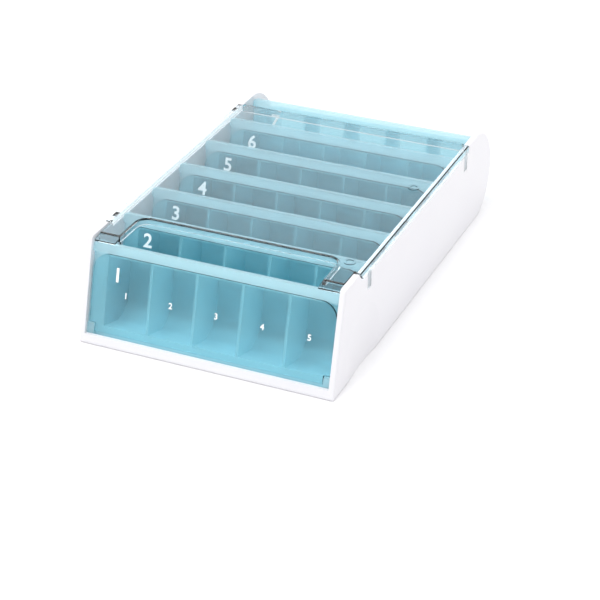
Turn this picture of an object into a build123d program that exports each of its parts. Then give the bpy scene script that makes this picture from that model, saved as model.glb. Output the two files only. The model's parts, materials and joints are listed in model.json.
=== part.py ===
"""Weekly pill organizer: seven leaning day trays in an open rack, under a clear lift-off cover.

Frame: +X to the right along the fronts of the trays, +Y to the back, +Z up. The origin is
the middle of the rack's underside. The trays stand one behind another and lean back. Inside
this file, Y is measured from the foot of the first lid, until a piece is put in its place.
"""
from build123d import *
from math import cos, radians, sin, tan
import os

# Driving dimensions, in millimetres and degrees

DAYS = ["monday", "tuesday", "wednesday", "thursday", "friday", "saturday", "sunday"]
lean = 16.0                 # how far the trays and the rack's front lean back

# Day tray: a flange with a row of rounded pockets behind it
tray_height = 50.6          # along the leaning face, from the foot to the top of the rim
tray_depth = 28.0           # from the lid's face to the back of the pockets
tray_gap = 2.2              # from the back of the pockets to the next lid
flange_thickness = 2.2
rim_height = 4.7            # band above the lid, level with the lid's face
rim_corner = 1.0
pocket_count = 5
pocket_pitch = 25.0
pocket_wall = 1.4           # dividers, ends, back and floor
end_strip = 7.0             # of the flange, to the left of the pockets
trough_bottom = 6.4         # underside of the pockets, above the foot
trough_drop = 4.8           # from the top of the rim to the top of the pockets
trough_corner = 13.0        # outer radius of the pockets' back corners

# Tray lid: a flap with rounded upper corners and a round lower edge that turns on two pins
lid_thickness = 1.8
lid_seat = 0.15             # between the shut lid and the flange
lid_top_gap = 0.4           # between the lid's free edge and the rim
lid_corner = 9.0
lid_edge = 0.3              # bevel around the lid's face
lid_side_gap = 0.5
hinge_height = 5.2          # pin axis above the foot, at the middle of the lid's thickness
pin_radius = 0.5
pin_clearance = 0.05
pin_length = 2.5
ear_width = 3.7             # hinge ears at both ends of the tray's front
ear_below = 2.2             # from the pin axis down to the ear's lower end
ear_above = 3.4
ear_gap = 0.3

# Rack: base, side walls, front bar, rear lip and the ribs that carry the trays
wall_thickness = 3.0
side_clearance = 0.3        # between a tray's ends and the walls
base_thickness = 2.0
seat_gap = 0.2              # under a tray's foot and pockets, and under the cover
front_bar_height = 5.3
front_bar_thickness = 1.6
front_corner = 1.5          # rounding of the front bottom edge
face_gap = 0.3              # between a lid's face and the bar or rib before it
foot_rib_height = 2.6       # above the base
rib_thickness = 1.6
shoulder_rise = 0.6         # raised front ends of the walls, above the cover
shoulder_end = 30.8         # from the first lid's foot to the back of the shoulder's top
shoulder_ramp = 4.0         # slope behind the shoulder, down to the wall under the cover
shoulder_corner = 2.5
ear_drop = 0.4              # raised rear ends of the walls, below the cover's top
rear_gap = 3.4              # from the last tray's pockets to the back of the rack
rear_radius = 27.5          # upper rear corner of the walls
rear_foot_inset = 17.0      # how far the foot's rear end is in from the back of the rack
rear_lip_height = 12.0
rear_lip_thickness = 2.0
wall_edge = 1.0             # rounding of the walls' outer edges
scoop_radius = 22.0         # finger scoops low in the walls, near the front
scoop_depth = 1.5
scoop_from_front = 36.2     # from the first lid's foot
scoop_height = 11.0

# Clear cover
plate_thickness = 1.5
headroom = 1.05             # from the trays' rims to the plate
cover_gap = 0.4             # between the cover's ends and the rack
cover_end_gap = 0.8         # between the cover's side rails and the raised wall ends
cover_edge = 0.5            # bevel of the cover's upper edges
cover_overrun = 0.8         # cover's rear edge, behind the foot of the last lid
rail_height = 2.9           # side rails below the plate
rear_skirt_height = 3.7
skirt_thickness = 1.5       # rear skirt and the arms' front walls
arm_width = 11.6            # arms beside the notch
notch_gap = 0.95            # from the notch's lip to the second tray's rim
notch_corner = 6.0
notch_lip_thickness = 1.5
notch_lip_height = 2.3
arm_front = 5.0             # arms' front walls, behind the first lid's face
arm_wall_height = 3.6
tab_width = 4.2
tab_length = 8.8            # below the side rail
tab_thickness = 1.3
tab_clearance = 0.3
front_tab_place = 12.9      # behind the shoulder's top
rear_tab_place = 4.8        # before the raised rear end
ring_radius = 3.0           # two small raised rings near the plate's right side
ring_width = 1.0
ring_height = 0.4
ring_inset = 6.1            # from the plate's side
front_ring_place = 2.0      # before the back of the notch
rear_ring_place = 85.0      # behind the back of the notch

# Worked out from the driving dimensions

lean_sin = sin(radians(lean))
lean_cos = cos(radians(lean))
lean_tan = tan(radians(lean))
foot_height = base_thickness + seat_gap
tray_width = end_strip + pocket_count * pocket_pitch + pocket_wall
tray_half = tray_width / 2
tray_pitch = (tray_depth + tray_gap) / lean_cos
last_foot = (len(DAYS) - 1) * tray_pitch
flange_front = lid_thickness + lid_seat
flange_back = flange_front + flange_thickness
trough_top = tray_height - trough_drop
trough_left = -tray_half + end_strip
hinge_behind = lid_thickness / 2
lid_top = tray_height - rim_height - lid_top_gap
between_ears = tray_half - ear_width - ear_gap
inner_half = tray_half + side_clearance
outer_half = inner_half + wall_thickness
plate_half = inner_half - cover_gap
notch_half = plate_half - arm_width
plate_underside = foot_height + tray_height * lean_cos + headroom
cover_top = plate_underside + plate_thickness
rail_bottom = plate_underside - rail_height
wall_height = rail_bottom - seat_gap
shoulder_height = cover_top + shoulder_rise
ear_wall_height = cover_top - ear_drop
frame_offset = face_gap + front_bar_thickness
front_end = -frame_offset / lean_cos


def to_yz(place, behind, up=None, height=None):
    """Y and Z of a point at a distance behind a lid's face, by its way up the face or its height."""
    if height is None:
        height = foot_height + up * lean_cos - behind * lean_sin
    return place + height * lean_tan + behind / lean_cos, height


back_corner = to_yz(last_foot, tray_depth - trough_corner, up=trough_top - trough_corner)
rear_end = back_corner[0] + trough_corner + rear_gap
rear_foot = rear_end - rear_foot_inset
middle = (front_end + rear_end) / 2
cover_rear = last_foot + cover_overrun
ear_start = cover_rear - cover_gap
rail_rear = ear_start - cover_end_gap
lip_bottom = plate_underside - notch_lip_height
notch_back = to_yz(tray_pitch, 0, height=lip_bottom)[0] - notch_gap - notch_lip_thickness
tab_places = [shoulder_end + front_tab_place, ear_start - rear_tab_place]
ring_places = [notch_back - front_ring_place, notch_back + rear_ring_place]


def ramp_y(height):
    """Y of the slope behind the shoulder at a height."""
    drop = (shoulder_height - height) / (shoulder_height - wall_height)
    return shoulder_end + shoulder_ramp * drop


def block(x0, x1, y0, y1, z0, z1):
    """Block between two corners."""
    return Pos((x0 + x1) / 2, (y0 + y1) / 2, (z0 + z1) / 2) * Box(abs(x1 - x0), y1 - y0, z1 - z0)


def rod(x0, x1, y, z, radius):
    """Round rod along X."""
    return Pos((x0 + x1) / 2, y, z) * Rot(0, 90, 0) * Cylinder(radius, abs(x1 - x0))


def outline(*points):
    """Closed face in the YZ plane through points of Y and Z."""
    return Plane.YZ * make_face(Polyline(*points, close=True))


def panel(y0, y1, z0, z1):
    """Rectangle in the YZ plane."""
    return outline((y0, z0), (y1, z0), (y1, z1), (y0, z1))


def along_x(face, x0, x1):
    """A face in the YZ plane, extruded from x0 to x1."""
    low, high = sorted((x0, x1))
    return Pos(low, 0, 0) * extrude(face, high - low, dir=(1, 0, 0))


def round_corners(face, radius, height, tolerance=0.01):
    """Rounds a YZ face's corners that lie at a height."""
    return fillet([v for v in face.vertices() if abs(v.Z - height) < tolerance], radius)


def tray_place(index):
    """Place of a tray's own frame: X along the tray, Y behind the lid's face, Z up the face."""
    y = index * tray_pitch + foot_height * lean_tan - middle
    return Location((0, y, foot_height), (-lean, 0, 0))


# Rack

def wall_outline():
    """Side wall: leaning front, raised shoulder, low middle under the cover, round rear end."""
    front_top = to_yz(0, -frame_offset, height=shoulder_height)
    rear_y = rear_end - rear_radius
    rear_z = ear_wall_height - rear_radius
    edge = Polyline(
        (rear_foot, 0),
        (front_end, 0),
        front_top,
        (shoulder_end, shoulder_height),
        (shoulder_end + shoulder_ramp, wall_height),
        (ear_start, wall_height),
        (ear_start, ear_wall_height),
        (rear_y, ear_wall_height),
    )
    upper = RadiusArc((rear_y, ear_wall_height), (rear_end, rear_z), rear_radius)
    lower = TangentArc((rear_end, rear_z), (rear_foot, 0), tangent=(0, -1))
    face = Plane.YZ * make_face([edge, upper, lower])
    face = round_corners(face, shoulder_corner, shoulder_height)
    front_bottom = face.vertices().group_by(Axis.Z)[0].sort_by(Axis.Y)[0]
    return fillet(front_bottom, front_corner)


def rack_wall(side):
    """One side wall with its finger scoop and the slots for the cover's tabs."""
    wall = along_x(wall_outline(), inner_half, outer_half)
    outer_face = wall.faces().sort_by(Axis.X)[-1]
    wall = fillet(outer_face.edges(), wall_edge)
    ball = (scoop_radius ** 2 + scoop_depth ** 2) / (2 * scoop_depth)
    wall -= Pos(outer_half + ball - scoop_depth, scoop_from_front, scoop_height) * Sphere(ball)
    slot_half = tab_width / 2 + tab_clearance
    slot_floor = rail_bottom - tab_length - tab_clearance
    slot_back = outer_half - tab_thickness - tab_clearance
    for place in tab_places:
        wall -= block(slot_back, outer_half + wall_edge, place - slot_half, place + slot_half,
                      slot_floor, shoulder_height)
    return wall if side > 0 else mirror(wall, Plane.YZ)


def front_bar():
    """Bar across the front, leaning as the trays do."""
    return outline(
        (front_end, 0),
        to_yz(0, -frame_offset, height=front_bar_height),
        to_yz(0, -face_gap, height=front_bar_height),
        to_yz(0, -face_gap, height=0),
    )


def rear_lip():
    """Low lip across the back that follows the walls' rear edge."""
    shape = wall_outline()
    inner = offset(shape, amount=-rear_lip_thickness)
    window = panel(rear_foot - rear_foot_inset, rear_end, 0, rear_lip_height)
    return (shape - inner) & window


def rack_floor():
    """Base, front bar, rear lip and ribs: one profile across the rack."""
    base = panel(to_yz(0, -face_gap, height=0)[0] - front_bar_thickness / 2, rear_foot, 0, base_thickness)
    profile = base + front_bar() + rear_lip()
    rib_top = base_thickness + foot_rib_height
    for index in range(len(DAYS)):
        place = index * tray_pitch
        rib_y, corner_z = to_yz(place, tray_depth - trough_corner, up=trough_bottom + trough_corner)
        seat = corner_z - trough_corner - seat_gap
        profile += panel(rib_y - rib_thickness / 2, rib_y + rib_thickness / 2, 0, seat)
        if index > 0:
            low_y = to_yz(place, -face_gap, height=0)[0]
            high_y = to_yz(place, -face_gap, height=rib_top)[0]
            profile += outline((low_y, 0), (high_y, rib_top), (high_y - rib_thickness, rib_top),
                               (low_y - rib_thickness, 0))
    front_bottom = profile.vertices().group_by(Axis.Z)[0].sort_by(Axis.Y)[0]
    profile = fillet(front_bottom, front_corner)
    into_wall = inner_half + wall_thickness / 3
    return along_x(profile, -into_wall, into_wall)


def rack():
    """White rack, one moulding."""
    body = rack_floor() + rack_wall(1) + rack_wall(-1)
    return Pos(0, -middle, 0) * body


# Day tray and its lid, in the tray's own frame

def pocket_outline(front, back, bottom, top, corner):
    """Section of the pockets: square in front, rounded behind."""
    line = FilletPolyline((front, bottom), (back, bottom), (back, top), (front, top), radius=corner)
    return Plane.YZ * make_face([line, Line((front, top), (front, bottom))])


def day_tray():
    """Flange, rim, hinge ears and the row of pockets, one moulding."""
    flange = along_x(outline(
        (flange_front, flange_front * lean_tan),
        (flange_front, tray_height),
        (flange_back, tray_height),
        (flange_back, flange_back * lean_tan),
    ), -tray_half, tray_half)
    rim = block(-tray_half, tray_half, 0, flange_back, tray_height - rim_height, tray_height)
    body = flange + rim
    body = fillet(body.edges().filter_by(Axis.Y).group_by(Axis.Z)[-1], rim_corner)
    outer = pocket_outline(flange_back - flange_thickness / 2, tray_depth, trough_bottom, trough_top,
                           trough_corner)
    body += along_x(outer, trough_left, tray_half)
    for side in (-1, 1):
        body += block(side * (tray_half - ear_width), side * tray_half, 0, flange_front,
                      hinge_height - ear_below, hinge_height + ear_above)
    pocket = pocket_outline(0, tray_depth - pocket_wall, trough_bottom + pocket_wall,
                            trough_top - pocket_wall, trough_corner - pocket_wall)
    for number in range(pocket_count):
        start = trough_left + pocket_wall + number * pocket_pitch
        body -= along_x(pocket, start, start + pocket_pitch - pocket_wall)
    body -= rod(-outer_half, outer_half, hinge_behind, hinge_height, pin_radius + pin_clearance)
    return body


def tray_lid():
    """Flap with rounded upper corners and a round lower edge with a pin at each end."""
    half = tray_half - lid_side_gap
    plate = block(-half, half, 0, lid_thickness, hinge_height, lid_top)
    plate = fillet(plate.edges().filter_by(Axis.Y).group_by(Axis.Z)[-1], lid_corner)
    face_edges = plate.faces().sort_by(Axis.Y)[0].edges()
    plate = chamfer([e for e in face_edges if e.center().Z > hinge_height + lid_edge], lid_edge)
    for side in (-1, 1):
        plate -= block(side * between_ears, side * tray_half, -lid_thickness, 2 * lid_thickness,
                       0, hinge_height + ear_above + ear_gap)
    plate += rod(-between_ears, between_ears, hinge_behind, hinge_height, lid_thickness / 2)
    pin_half = between_ears + pin_length
    plate += rod(-pin_half, pin_half, hinge_behind, hinge_height, pin_radius)
    return plate


# Clear cover

def notch_outline(grow=0.0):
    """U-shaped notch from the cover's front, with rounded rear corners."""
    back = notch_back + grow
    notch = Pos(0, (front_end + back) / 2) * Rectangle(2 * (notch_half + grow), back - front_end)
    return fillet(notch.vertices().group_by(Axis.Y)[-1], notch_corner + grow)


def cover_outline():
    """Plan of the cover: side rails, and the plate from the arms' fronts to the rear edge."""
    rail_front = ramp_y(plate_underside) + cover_end_gap
    arm_y = to_yz(0, arm_front, height=cover_top)[0]
    rails = Pos(0, (rail_front + rail_rear) / 2) * Rectangle(2 * outer_half, rail_rear - rail_front)
    plate = Pos(0, (arm_y + cover_rear) / 2) * Rectangle(2 * plate_half, cover_rear - arm_y)
    return rails + plate


def rail_outline():
    """Side rail over a wall, with a front that follows the slope behind the shoulder."""
    return outline(
        (ramp_y(rail_bottom) + cover_end_gap, rail_bottom),
        (ramp_y(cover_top) + cover_end_gap, cover_top),
        (rail_rear, cover_top),
        (rail_rear, rail_bottom),
    )


def arm_wall_outline():
    """Front wall of an arm, leaning with the first tray."""
    low_y, low_z = to_yz(0, arm_front, height=plate_underside - arm_wall_height)
    high_y, high_z = to_yz(0, arm_front, height=plate_underside)
    return outline((low_y, low_z), (high_y, high_z), (high_y + skirt_thickness, high_z),
                   (low_y + skirt_thickness, low_z))


def cover():
    """Clear cover: plate, side rails, lip, rear skirt, arms' front walls, tabs and rings."""
    plan = cover_outline()
    body = Pos(0, 0, plate_underside) * extrude(plan - notch_outline(), plate_thickness)
    for side in (-1, 1):
        body += along_x(rail_outline(), side * (inner_half + side_clearance), side * outer_half)
    body = chamfer(body.faces().sort_by(Axis.Z)[-1].edges(), cover_edge)
    lip = plan & (notch_outline(notch_lip_thickness) - notch_outline())
    body += Pos(0, 0, lip_bottom) * extrude(lip, notch_lip_height)
    body += block(-plate_half, plate_half, cover_rear - skirt_thickness, cover_rear,
                  plate_underside - rear_skirt_height, plate_underside)
    ring = Circle(ring_radius) - Circle(ring_radius - ring_width)
    for side in (-1, 1):
        body += along_x(arm_wall_outline(), side * notch_half, side * plate_half)
        for place in tab_places:
            body += block(side * (outer_half - tab_thickness), side * outer_half,
                          place - tab_width / 2, place + tab_width / 2,
                          rail_bottom - tab_length, rail_bottom + seat_gap)
    for place in ring_places:
        body += Pos(plate_half - ring_inset, place, cover_top) * extrude(ring, ring_height)
    return Pos(0, -middle, 0) * body


# Write one file for each piece

def main():
    os.makedirs("parts", exist_ok=True)
    pieces = {"rack": rack(), "clear_cover": cover()}
    tray = day_tray()
    lid = tray_lid()
    for index, day in enumerate(DAYS):
        pieces[f"{day}_tray"] = tray_place(index) * tray
        pieces[f"{day}_lid"] = tray_place(index) * lid
    for name, piece in pieces.items():
        solids = piece.solids()
        print(name, len(solids), "solid", round(sum(s.volume for s in solids)), "mm3")
        export_step(piece, f"parts/{name}.step")
    hinge_y, hinge_z = to_yz(-middle, hinge_behind, up=hinge_height)
    print("hinge of the first lid", round(hinge_y, 4), round(hinge_z, 4))
    print("first foot", round(-middle, 4), "pitch", round(tray_pitch, 4))


main()
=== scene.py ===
"""Looks of a weekly pill organizer: a white rack, blue day trays with clear blue lids, and a clear cover.

Laid out as an add-on: sizes and colours are properties, and each group of pieces has an operator.
"""

import json
import math

import bmesh
import bpy
from bpy.props import FloatProperty, FloatVectorProperty, PointerProperty
from mathutils import Matrix, Vector

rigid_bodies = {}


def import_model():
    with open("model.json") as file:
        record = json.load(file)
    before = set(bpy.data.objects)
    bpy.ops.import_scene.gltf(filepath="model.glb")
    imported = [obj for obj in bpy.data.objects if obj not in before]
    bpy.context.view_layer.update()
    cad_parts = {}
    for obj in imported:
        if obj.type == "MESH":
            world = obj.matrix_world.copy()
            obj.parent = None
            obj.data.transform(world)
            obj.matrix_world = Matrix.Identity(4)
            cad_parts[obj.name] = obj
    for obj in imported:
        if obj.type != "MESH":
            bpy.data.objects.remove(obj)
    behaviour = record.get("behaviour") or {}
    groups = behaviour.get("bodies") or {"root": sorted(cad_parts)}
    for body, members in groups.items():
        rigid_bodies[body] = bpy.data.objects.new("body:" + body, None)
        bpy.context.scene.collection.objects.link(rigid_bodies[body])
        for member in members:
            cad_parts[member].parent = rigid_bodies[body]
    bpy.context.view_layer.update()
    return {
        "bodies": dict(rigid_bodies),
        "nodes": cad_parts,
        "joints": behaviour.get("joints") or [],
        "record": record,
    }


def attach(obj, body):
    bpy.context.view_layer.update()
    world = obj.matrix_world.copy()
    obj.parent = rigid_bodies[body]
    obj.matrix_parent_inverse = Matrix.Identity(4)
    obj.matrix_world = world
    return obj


bl_info = {
    "name": "Weekly pill organizer",
    "version": (1, 0, 0),
    "blender": (4, 5, 0),
    "location": "View3D > Sidebar > Organizer",
    "description": "Finishes, printed numerals and stage of a weekly pill organizer",
    "category": "Object",
}

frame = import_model()

MM = 0.001
DAYS = ["monday", "tuesday", "wednesday", "thursday", "friday", "saturday", "sunday"]
COMPARTMENTS = 5


def linear(hex_code):
    """Linear red, green and blue of an sRGB hex colour."""
    parts = [int(hex_code[i:i + 2], 16) / 255 for i in (1, 3, 5)]
    return tuple(c / 12.92 if c <= 0.04045 else ((c + 0.055) / 1.055) ** 2.4 for c in parts)


def colour(hex_code, name, words):
    """A colour property with its default as an sRGB hex code."""
    return FloatVectorProperty(
        name=name, description=words, subtype="COLOR", size=3, min=0.0, max=1.0, default=linear(hex_code))


def length(value, name, words):
    """A length property with its default in millimetres."""
    return FloatProperty(name=name, description=words, unit="LENGTH", min=0.0, default=value * MM)


# Settings

class OrganizerColours(bpy.types.PropertyGroup):
    """Colours of the mouldings and the print."""

    rack: colour("#EBEAED", "Rack", "White of the rack")
    rack_shade: colour("#E6E5EA", "Rack, cooler patches", "Slightly cooler white that the rack drifts to")
    tray: colour("#E4F9FE", "Tray body", "Blue that a tray scatters")
    tray_tint: colour("#EAFAFD", "Tray tint", "Tint of what is seen through one tray face")
    lid: colour("#DAF7FC", "Lid", "Tint of the light that a lid bends")
    lid_shadow: colour("#F0FBFD", "Lid shadow", "Tint of the lamps' light that passes one lid face")
    cover: colour("#E9F1F4", "Cover", "Tint of the light that the cover bends")
    cover_shadow: colour("#F4F8FA", "Cover shadow", "Tint of the lamps' light that passes one cover face")
    ink: colour("#FFFFFF", "Ink", "White of the printed numerals")
    floor: colour("#FAFAFB", "Floor", "Pale floor")


class OrganizerPrint(bpy.types.PropertyGroup):
    """Sizes and places of the printed numerals."""

    day_height: length(7.5, "Day numeral", "Height of the numeral for the day")
    day_left: length(52.0, "Day place", "From the tray's middle leftwards to the day numeral's middle")
    first_down: length(10.0, "First day's drop", "From the front lid's top edge to its day numeral's middle")
    day_down: length(6.4, "Day drop", "The same on the lids that stand behind another tray")
    small_height: length(3.2, "Compartment numeral", "Height of the numerals for the compartments")
    small_down: length(19.5, "Compartment drop", "From the lid's top edge to the small numerals' middle")
    film: length(0.05, "Ink film", "Thickness of the printed ink")
    film_gap: length(0.005, "Film gap", "From the lid's face to the back of the ink")


class OrganizerCoverSizes(bpy.types.PropertyGroup):
    """Sizes of the clear cover, and of the visors at the fronts of its arms."""

    visor_depth: length(5.8, "Visor depth", "From an arm's front edge to the visor's tip")
    visor_drop: length(1.0, "Visor drop", "From the arm's upper edge to the visor's upper edge at its tip")
    visor_thickness: length(0.9, "Visor thickness", "Height of a visor's front edge")
    ring: length(0.4, "Ring height", "Height of the raised rings on the cover")
    edge: length(0.5, "Edge", "Bevel of the cover's upper edges")


class OrganizerStage(bpy.types.PropertyGroup):
    """Camera, floor and light."""

    eye: FloatVectorProperty(
        name="Camera place", description="Place of the camera in the organizer's frame",
        subtype="XYZ", unit="LENGTH", size=3, default=(0.35973, -0.80436, 0.49356))
    azimuth: FloatProperty(
        name="Azimuth", description="Turn of the camera from looking to the back",
        subtype="ANGLE", default=math.radians(24.0))
    elevation: FloatProperty(
        name="Elevation", description="Height of the camera above the horizon, as an angle",
        subtype="ANGLE", default=math.radians(30.27))
    roll: FloatProperty(
        name="Roll", description="Turn of the camera about its own axis",
        subtype="ANGLE", default=math.radians(-0.3))
    lens: FloatProperty(
        name="Lens", description="Focal length on a 36 mm sensor, in millimetres", min=1.0, default=111.64)
    soft_light: FloatProperty(
        name="Soft light", description="Strength of the white studio around the organizer",
        min=0.0, default=0.86)
    key_power: FloatProperty(
        name="Key lamp", description="Power of the lamp above the front",
        unit="POWER", min=0.0, default=10.0)
    rear_power: FloatProperty(
        name="Rear lamp", description="Power of the lamp behind",
        unit="POWER", min=0.0, default=5.0)
    floor_half: length(3000.0, "Floor", "Half the side of the square floor")


# Places read from the frame

def lean_axes():
    """Unit vectors up a tray's leaning face, and square to it towards the front."""
    lift = next(joint for joint in frame["joints"] if joint["name"] == "sunday_tray_lift")
    up = Vector(lift["axis"]).normalized()
    return up, Vector((0, -up.z, up.y))


def reach(name, direction):
    """Greatest distance of a node's corners along a direction."""
    return max(v.co.dot(direction) for v in frame["nodes"][name].data.vertices)


def compartment_middles():
    """X of the middle of each compartment, from the record's openings for the front tray."""
    boxes = {opening["name"]: opening["box_m"] for opening in frame["record"]["physics"]["openings"]}
    row = [boxes[f"monday_compartment_{number + 1}"] for number in range(COMPARTMENTS)]
    return [(low[0] + high[0]) / 2 for low, high in row]


def body_of_lid(day):
    """The body that a lid moves with: its own where it swings, and otherwise its tray's."""
    return f"{day}_lid" if f"{day}_lid" in frame["bodies"] else f"{day}_tray"


# Finishes

def node(tree, kind, settings=None, **inputs):
    """Adds one shader node with its settings and inputs, a value or a link each.

    An input is given by name, with _ for a space, or by number, as in n0.
    """
    made = tree.nodes.new(kind)
    for key, value in (settings or {}).items():
        setattr(made, key, value)
    for key, value in inputs.items():
        socket = made.inputs[int(key[1:]) if key.startswith("n") else key.replace("_", " ")]
        if isinstance(value, bpy.types.NodeSocket):
            tree.links.new(value, socket)
        else:
            socket.default_value = value
    return made


def start_material(name):
    """A new material and its empty node tree."""
    material = bpy.data.materials.new(name)
    material.use_nodes = True
    material.node_tree.nodes.clear()
    return material, material.node_tree


def rgba(values):
    return (*values, 1.0)


def moulding_bump(tree, width, depth):
    """Normal of a moulded face, whose faint unevenness has this width and depth in metres."""
    place = node(tree, "ShaderNodeTexCoord").outputs["Object"]
    noise = node(tree, "ShaderNodeTexNoise", Vector=place, Scale=1.0 / width, Detail=2.0)
    bump = node(tree, "ShaderNodeBump", Height=noise.outputs["Fac"], Strength=1.0, Distance=depth)
    return bump.outputs["Normal"]


def rack_plastic():
    """White ABS, injection moulded with a satin face: soft broad highlights and a milky body."""
    colours = bpy.context.scene.organizer_colours
    patch_width = 45 * MM
    milk_depth = 1.2 * MM
    material, tree = start_material("moulded_white_abs")
    place = node(tree, "ShaderNodeTexCoord").outputs["Object"]
    drift = node(tree, "ShaderNodeTexNoise", Vector=place, Scale=1.0 / patch_width, Detail=1.0)
    tone = node(tree, "ShaderNodeMix", {"data_type": "RGBA"}, n0=drift.outputs["Fac"],
                n6=rgba(colours.rack), n7=rgba(colours.rack_shade))
    shader = node(tree, "ShaderNodeBsdfPrincipled", Base_Color=tone.outputs[2], Roughness=0.34, IOR=1.53,
                  Normal=moulding_bump(tree, 1.1 * MM, 0.012 * MM), Subsurface_Weight=0.08,
                  Subsurface_Radius=(1.0, 0.95, 0.9), Subsurface_Scale=milk_depth)
    node(tree, "ShaderNodeOutputMaterial", Surface=shader.outputs[0])
    return material


def tray_plastic():
    """Milky blue polystyrene, injection moulded: light passes tinted, and the face shines softly.

    What doesn't pass is scattered, part of it back and part of it onwards. Less passes where a face
    is seen at a slant, because the light then goes through more of the wall.
    """
    colours = bpy.context.scene.organizer_colours
    facing_opacity = 0.42
    slanting_opacity = 0.85
    onward_share = 0.45
    material, tree = start_material("moulded_blue_polystyrene")
    bump = moulding_bump(tree, 9.0 * MM, 0.012 * MM)
    passed = node(tree, "ShaderNodeBsdfTransparent", Color=rgba(colours.tray_tint))
    back = node(tree, "ShaderNodeBsdfPrincipled", Base_Color=rgba(colours.tray), Roughness=0.2, IOR=1.59,
                Normal=bump)
    onward = node(tree, "ShaderNodeBsdfTranslucent", Color=rgba(colours.tray))
    scattered = node(tree, "ShaderNodeMixShader", n0=onward_share, n1=back.outputs[0], n2=onward.outputs[0])
    slant = node(tree, "ShaderNodeLayerWeight", Blend=0.5, Normal=bump)
    late = node(tree, "ShaderNodeMath", {"operation": "POWER"}, n0=slant.outputs["Facing"], n1=3.0)
    opacity = node(tree, "ShaderNodeMapRange", Value=late.outputs[0], To_Min=facing_opacity,
                   To_Max=slanting_opacity)
    mixed = node(tree, "ShaderNodeMixShader", n0=opacity.outputs["Result"], n1=passed.outputs[0],
                 n2=scattered.outputs[0])
    node(tree, "ShaderNodeOutputMaterial", Surface=mixed.outputs[0])
    return material


def clear_plastic(name, tint, shadow_tint, roughness, ripple_width):
    """Clear polystyrene from a polished tool: it bends light, so its edges show bright and dark.

    Its IOR is under polystyrene's 1.59, so that the white studio hides less of what is behind it.
    Shadow rays pass straight through, because the lamps would otherwise leave what is behind it dark.
    """
    material, tree = start_material(name)
    bending = node(tree, "ShaderNodeBsdfPrincipled", Base_Color=rgba(tint), Roughness=roughness, IOR=1.42,
                   Normal=moulding_bump(tree, ripple_width, 0.02 * MM), Transmission_Weight=1.0)
    passed = node(tree, "ShaderNodeBsdfTransparent", Color=rgba(shadow_tint))
    path = node(tree, "ShaderNodeLightPath")
    mixed = node(tree, "ShaderNodeMixShader", n0=path.outputs["Is Shadow Ray"], n1=bending.outputs[0],
                 n2=passed.outputs[0])
    node(tree, "ShaderNodeOutputMaterial", Surface=mixed.outputs[0])
    return material


def lid_plastic():
    colours = bpy.context.scene.organizer_colours
    return clear_plastic("polished_blue_polystyrene", colours.lid, colours.lid_shadow,
                         roughness=0.04, ripple_width=25.0 * MM)


def cover_plastic():
    colours = bpy.context.scene.organizer_colours
    return clear_plastic("polished_clear_polystyrene", colours.cover, colours.cover_shadow,
                         roughness=0.03, ripple_width=30.0 * MM)


def print_ink():
    """Opaque white pad-printing ink: matt, with a slightly uneven film."""
    colours = bpy.context.scene.organizer_colours
    material, tree = start_material("pad_printed_white_ink")
    shader = node(tree, "ShaderNodeBsdfPrincipled", Base_Color=rgba(colours.ink), Roughness=0.5,
                  Normal=moulding_bump(tree, 0.4 * MM, 0.004 * MM))
    node(tree, "ShaderNodeOutputMaterial", Surface=shader.outputs[0])
    return material


def floor_finish():
    """Matt pale floor that keeps the organizer's shadow."""
    colours = bpy.context.scene.organizer_colours
    material, tree = start_material("matt_pale_floor")
    shader = node(tree, "ShaderNodeBsdfPrincipled", Base_Color=rgba(colours.floor), Roughness=0.9,
                  Specular_IOR_Level=0.1)
    node(tree, "ShaderNodeOutputMaterial", Surface=shader.outputs[0])
    return material


def give(piece, material):
    """Makes the material the only one of a piece."""
    piece.data.materials.clear()
    piece.data.materials.append(material)


# Pieces

def new_piece(name, shape):
    """Turns a bmesh into an object at the origin."""
    mesh = bpy.data.meshes.new(name)
    shape.to_mesh(mesh)
    shape.free()
    piece = bpy.data.objects.new(name, mesh)
    bpy.context.scene.collection.objects.link(piece)
    return piece


class OBJECT_OT_organizer_rack(bpy.types.Operator):
    """Finish the white rack"""

    bl_idname = "organizer.rack"
    bl_label = "Rack"

    def execute(self, context):
        give(frame["nodes"]["rack"], rack_plastic())
        return {"FINISHED"}


class OBJECT_OT_organizer_trays(bpy.types.Operator):
    """Finish the seven day trays"""

    bl_idname = "organizer.trays"
    bl_label = "Day trays"

    def execute(self, context):
        material = tray_plastic()
        for day in DAYS:
            give(frame["nodes"][f"{day}_tray"], material)
        return {"FINISHED"}


class OBJECT_OT_organizer_lids(bpy.types.Operator):
    """Finish the seven lids"""

    bl_idname = "organizer.lids"
    bl_label = "Tray lids"

    def execute(self, context):
        material = lid_plastic()
        for day in DAYS:
            give(frame["nodes"][f"{day}_lid"], material)
        return {"FINISHED"}


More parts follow.
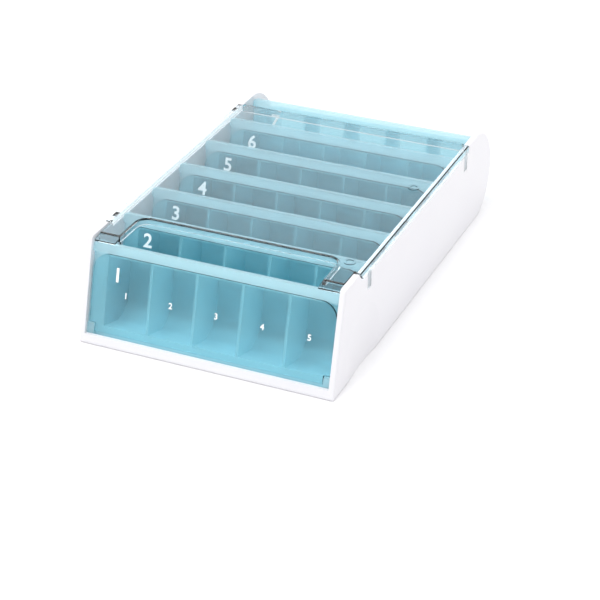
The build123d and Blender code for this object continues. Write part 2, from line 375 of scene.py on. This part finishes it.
class OBJECT_OT_organizer_cover(bpy.types.Operator):
    """Finish the clear cover, and add the sloping visors at the fronts of its arms"""

    bl_idname = "organizer.cover"
    bl_label = "Clear cover"

    def execute(self, context):
        cover = frame["nodes"]["clear_cover"]
        material = cover_plastic()
        give(cover, material)
        for side, name in ((-1, "left"), (1, "right")):
            piece = new_piece(f"{name}_visor", self.visor(cover, side, context.scene.organizer_cover_sizes))
            give(piece, material)
            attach(piece, "clear_cover")
        return {"FINISHED"}

    def visor(self, cover, side, sizes):
        """A visor from an arm's front edge down over the ends of the front tray's rim."""
        corners = [v.co for v in cover.data.vertices]
        top = max(corner.z for corner in corners) - sizes.ring - sizes.edge
        upper = [corner for corner in corners if corner.z > top - sizes.edge]
        front = min(corner.y for corner in upper)
        ends = [abs(corner.x) for corner in upper if corner.y < front + sizes.edge]
        tip = front - sizes.visor_depth
        profile = [
            (front, top),
            (tip, top - sizes.visor_drop),
            (tip, top - sizes.visor_drop - sizes.visor_thickness),
            (front, top - sizes.visor_thickness),
        ]
        shape = bmesh.new()
        outline = shape.faces.new([shape.verts.new((side * min(ends), y, z)) for y, z in profile])
        grown = bmesh.ops.extrude_face_region(shape, geom=[outline])["geom"]
        moved = [part for part in grown if isinstance(part, bmesh.types.BMVert)]
        bmesh.ops.translate(shape, verts=moved, vec=(side * (max(ends) - min(ends)), 0, 0))
        bmesh.ops.bevel(shape, geom=shape.edges, offset=sizes.edge / 2, segments=2, profile=0.5,
                        affect="EDGES", material=-1)
        bmesh.ops.recalc_face_normals(shape, faces=shape.faces)
        return shape


def numeral_mesh(text, height, film):
    """A plain numeral as a mesh, centred on its own origin, flat in XY."""
    digit_share = 0.73
    stroke_growth = 0.02
    curve = bpy.data.curves.new("numeral", "FONT")
    curve.body = text
    curve.align_x = "CENTER"
    curve.align_y = "CENTER"
    curve.size = height / digit_share
    curve.offset = stroke_growth * curve.size
    curve.extrude = film / 2
    curve.resolution_u = 6
    written = bpy.data.objects.new("numeral", curve)
    mesh = bpy.data.meshes.new_from_object(written)
    bpy.data.objects.remove(written)
    bpy.data.curves.remove(curve)
    return mesh


class OBJECT_OT_organizer_numerals(bpy.types.Operator):
    """Print plain numerals on the lids: one for the day and one for each compartment"""

    bl_idname = "organizer.numerals"
    bl_label = "Printed numerals"

    def execute(self, context):
        sizes = context.scene.organizer_print
        ink = print_ink()
        for number, day in enumerate(DAYS):
            shape = self.printed(f"{day}_lid", self.marks(number, sizes), sizes)
            piece = new_piece(f"{day}_numerals", shape)
            give(piece, ink)
            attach(piece, body_of_lid(day))
        return {"FINISHED"}

    def marks(self, number, sizes):
        """One lid's numerals: text, height, place across and drop from the lid's top edge."""
        drop = sizes.day_down if number else sizes.first_down
        marks = [(str(number + 1), sizes.day_height, -sizes.day_left, drop)]
        for compartment, middle in enumerate(compartment_middles()):
            marks.append((str(compartment + 1), sizes.small_height, middle, sizes.small_down))
        return marks

    def printed(self, lid, marks, sizes):
        """The ink of one lid, just proud of its front face."""
        up, front = lean_axes()
        turn = Matrix((Vector((1, 0, 0)), up, front)).transposed().to_4x4()
        top = reach(lid, up)
        face = reach(lid, front) + sizes.film_gap + sizes.film / 2
        shape = bmesh.new()
        for text, height, across, down in marks:
            mesh = numeral_mesh(text, height, sizes.film)
            place = Vector((across, 0, 0)) + up * (top - down) + front * face
            mesh.transform(Matrix.Translation(place) @ turn)
            shape.from_mesh(mesh)
            bpy.data.meshes.remove(mesh)
        bmesh.ops.remove_doubles(shape, verts=shape.verts, dist=0.002 * MM)
        bmesh.ops.recalc_face_normals(shape, faces=shape.faces)
        return shape


# Stage

def add_lamp(name, place, target, size, power):
    """A soft square lamp that faces a point."""
    data = bpy.data.lights.new(name, "AREA")
    data.size = size
    data.energy = power
    lamp = bpy.data.objects.new(name, data)
    lamp.location = place
    lamp.rotation_euler = (Vector(target) - Vector(place)).to_track_quat("-Z", "Y").to_euler()
    bpy.context.scene.collection.objects.link(lamp)


class OBJECT_OT_organizer_stage(bpy.types.Operator):
    """Make the floor, the soft light and the camera"""

    bl_idname = "organizer.stage"
    bl_label = "Stage"

    def execute(self, context):
        scene = context.scene
        scene.view_settings.view_transform = "Standard"
        self.make_floor(scene.organizer_stage)
        self.make_world(scene)
        self.make_lamps(scene.organizer_stage)
        self.make_camera(scene)
        return {"FINISHED"}

    def make_floor(self, stage):
        shape = bmesh.new()
        bmesh.ops.create_grid(shape, x_segments=1, y_segments=1, size=stage.floor_half)
        floor = new_piece("floor", shape)
        give(floor, floor_finish())

    def make_world(self, scene):
        """A white studio: the camera, gloss and clear plastic see it plain white."""
        white = (1, 1, 1, 1)
        world = bpy.data.worlds.new("studio")
        scene.world = world
        world.use_nodes = True
        tree = world.node_tree
        tree.nodes.clear()
        path = node(tree, "ShaderNodeLightPath")
        seen = node(tree, "ShaderNodeMath", {"operation": "MAXIMUM"}, n0=path.outputs["Is Camera Ray"],
                    n1=path.outputs["Is Transmission Ray"])
        seen = node(tree, "ShaderNodeMath", {"operation": "MAXIMUM"}, n0=seen.outputs[0],
                    n1=path.outputs["Is Glossy Ray"])
        soft = node(tree, "ShaderNodeBackground", Color=white, Strength=scene.organizer_stage.soft_light)
        plain = node(tree, "ShaderNodeBackground", Color=white, Strength=1.0)
        mixed = node(tree, "ShaderNodeMixShader", n0=seen.outputs[0], n1=soft.outputs[0],
                     n2=plain.outputs[0])
        node(tree, "ShaderNodeOutputWorld", Surface=mixed.outputs[0])

    def make_lamps(self, stage):
        middle = (0.0, 0.0, 0.03)
        add_lamp("key_lamp", (-0.3, -0.6, 1.4), middle, size=0.9, power=stage.key_power)
        add_lamp("rear_lamp", (0.3, 1.1, 1.0), middle, size=0.8, power=stage.rear_power)

    def make_camera(self, scene):
        stage = scene.organizer_stage
        turn, rise = stage.azimuth, stage.elevation
        look = Vector((-math.sin(turn) * math.cos(rise), math.cos(turn) * math.cos(rise), -math.sin(rise)))
        level = Vector((math.cos(turn), math.sin(turn), 0))
        right = level * math.cos(stage.roll) + level.cross(look) * math.sin(stage.roll)
        above = right.cross(look)
        data = bpy.data.cameras.new("camera")
        data.lens = stage.lens
        data.sensor_width = 36.0
        data.clip_start = 0.01
        data.clip_end = 20.0
        camera = bpy.data.objects.new("camera", data)
        place = Matrix((right, above, -look)).transposed().to_4x4()
        place.translation = Vector(stage.eye)
        camera.matrix_world = place
        scene.collection.objects.link(camera)
        scene.camera = camera


# Add-on

class VIEW3D_PT_organizer(bpy.types.Panel):
    """Lists the organizer's pieces and settings"""

    bl_label = "Weekly pill organizer"
    bl_space_type = "VIEW_3D"
    bl_region_type = "UI"
    bl_category = "Organizer"

    def draw(self, context):
        for piece in PIECES:
            self.layout.operator(piece.bl_idname)
        for group, kind in SETTINGS.items():
            box = self.layout.box()
            for name in kind.__annotations__:
                box.prop(getattr(context.scene, group), name)


PIECES = [
    OBJECT_OT_organizer_rack,
    OBJECT_OT_organizer_trays,
    OBJECT_OT_organizer_lids,
    OBJECT_OT_organizer_cover,
    OBJECT_OT_organizer_numerals,
    OBJECT_OT_organizer_stage,
]
SETTINGS = {
    "organizer_colours": OrganizerColours,
    "organizer_print": OrganizerPrint,
    "organizer_cover_sizes": OrganizerCoverSizes,
    "organizer_stage": OrganizerStage,
}


def register():
    for kind in [*SETTINGS.values(), *PIECES, VIEW3D_PT_organizer]:
        bpy.utils.register_class(kind)
    for group, kind in SETTINGS.items():
        setattr(bpy.types.Scene, group, PointerProperty(type=kind))


def unregister():
    for group in SETTINGS:
        delattr(bpy.types.Scene, group)
    for kind in reversed([*SETTINGS.values(), *PIECES, VIEW3D_PT_organizer]):
        bpy.utils.unregister_class(kind)


def main():
    register()
    bpy.ops.organizer.rack()
    bpy.ops.organizer.trays()
    bpy.ops.organizer.lids()
    bpy.ops.organizer.cover()
    bpy.ops.organizer.numerals()
    bpy.ops.organizer.stage()


if __name__ == "__main__":
    main()
